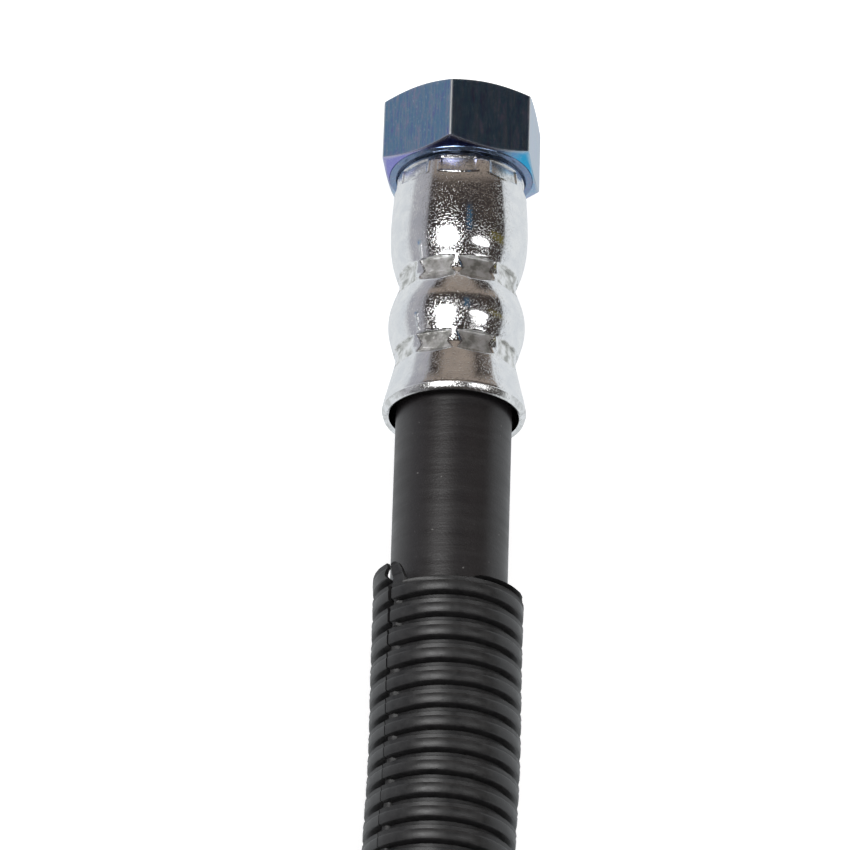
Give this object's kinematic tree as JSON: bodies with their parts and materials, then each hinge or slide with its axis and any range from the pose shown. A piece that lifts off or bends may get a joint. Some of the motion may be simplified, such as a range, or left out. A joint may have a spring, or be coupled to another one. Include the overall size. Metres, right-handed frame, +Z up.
{
  "type": "power steering pressure hose",
  "caption": "Crimped rubber pressure hose with hexagonal swivel nuts, zinc crimp ferrules and a split corrugated protective sleeve.",
  "frame": {"origin": "on the floor under the middle of the near end fitting", "axes": "+Y along the hose's axis at the near end, out of the swivel nut's mouth; +Z up; the hose curls away to -X"},
  "size_m": [0.237, 0.2584, 0.024],
  "materials": {
    "blue_zinc": "blue-passivated zinc plate, vertical brushing, satin",
    "tail_steel": "turned and plated, satin",
    "bright_zinc": "bright zinc plate, near mirror, marked by the crimping dies",
    "hose_rubber": "matte, faint cloth-wrap bands",
    "loom_plastic": "semi-gloss moulded plastic"
  },
  "bodies": {
    "hose_assembly": {"hose_tail": "tail_steel", "crimp_ferrule": "bright_zinc", "rubber_hose": "hose_rubber", "split_loom": "loom_plastic", "far_hose_tail": "tail_steel", "far_crimp_ferrule": "bright_zinc"},
    "near_nut": {"swivel_nut": "blue_zinc"},
    "far_nut": {"far_swivel_nut": "blue_zinc"}
  },
  "joints": [
    {"name": "near_nut_turn", "type": "hinge", "parent": "hose_assembly", "child": "near_nut", "pos_m": [0, 0.02173, 0.012], "axis": [0, 1, 0], "continuous": true},
    {"name": "far_nut_turn", "type": "hinge", "parent": "hose_assembly", "child": "far_nut", "pos_m": [-0.2092, 0.02173, 0.012], "axis": [0, 1, 0], "continuous": true}
  ]
}
